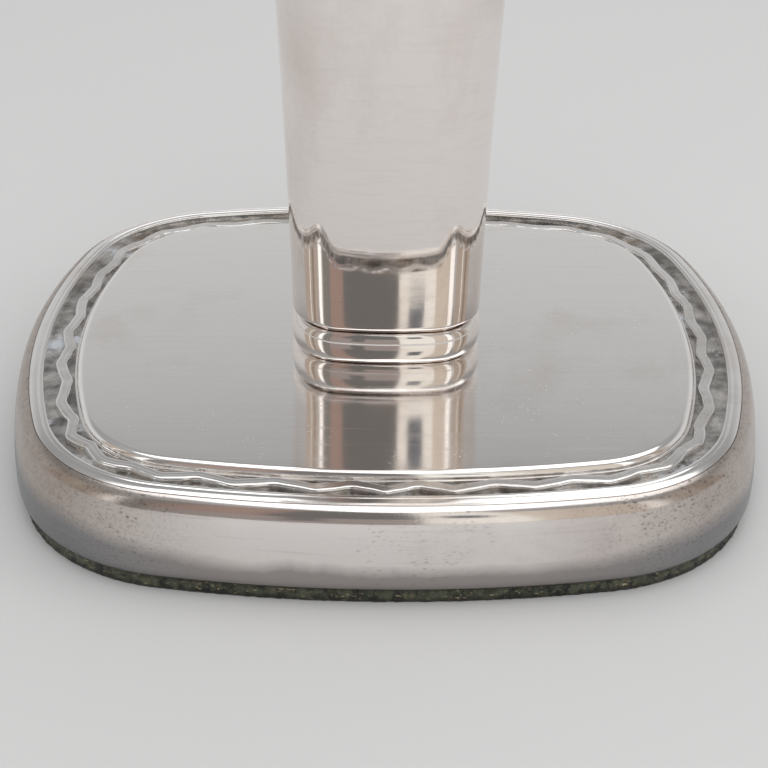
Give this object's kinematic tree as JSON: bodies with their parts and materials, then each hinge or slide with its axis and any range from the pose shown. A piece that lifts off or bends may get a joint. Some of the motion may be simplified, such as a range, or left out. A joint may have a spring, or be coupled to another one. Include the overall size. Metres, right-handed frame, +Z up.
{
  "type": "candlestick",
  "caption": "Weighted silver candlestick: bowed rounded-rectangle base with a waved ribbon border, a stem that flares upwards and a lift-out nozzle for a candle.",
  "frame": {"origin": "centre of the underside of the felt, on the surface that the candlestick stands on", "axes": "+Z up along the stem, X along the width of the base, the long side; the front faces -Y"},
  "size_m": [0.116, 0.102, 0.1956],
  "materials": {
    "wall_silver": "polished sterling silver, worn soft, with fine horizontal scratches and small pitted patches",
    "rim_silver": "polished sterling silver, bright on the edges",
    "oxidised_silver": "hammered silver, darkened, with pale polish left in the corners",
    "ribbon_silver": "polished silver wire with a hand-worked surface",
    "plateau_silver": "polished silver with fine brushing across the width",
    "collar_silver": "polished silver, soft and slightly uneven",
    "stem_silver": "polished silver with faint warm tarnish and tiny pits",
    "nozzle_silver": "polished silver, softly worn",
    "inner_silver": "plain unpolished silver",
    "felt": "dark green wool felt with stray fibres",
    "tinplate": "dull tinned sheet",
    "filling_pitch": "dark set pitch",
    "core_steel": "plain mild steel"
  },
  "bodies": {
    "stand": {"felt_pad": "felt", "closing_plate": "tinplate", "base_wall": "wall_silver", "base_rim": "rim_silver", "border_channel": "oxidised_silver", "wave_ribbon": "ribbon_silver", "plateau_plate": "plateau_silver", "base_filling": "filling_pitch", "tie_rod": "core_steel", "base_nut": "core_steel", "base_washer": "core_steel", "collar_ring": "collar_silver", "stem_foot_plate": "inner_silver", "stem_shell": "stem_silver", "stem_filling": "filling_pitch", "top_washer": "core_steel", "top_nut": "core_steel", "socket_sleeve": "inner_silver", "mouth_plate": "inner_silver", "mouth_rim": "rim_silver"},
    "nozzle": {"nozzle_spigot": "inner_silver", "drip_pan": "nozzle_silver", "pan_rim": "rim_silver", "cup_foot": "nozzle_silver", "candle_cup": "nozzle_silver", "cup_rim": "rim_silver"}
  },
  "joints": [
    {"name": "nozzle_lift", "type": "slide", "parent": "stand", "child": "nozzle", "axis": [0, 0, 1], "range_m": [0, 0.018]}
  ]
}
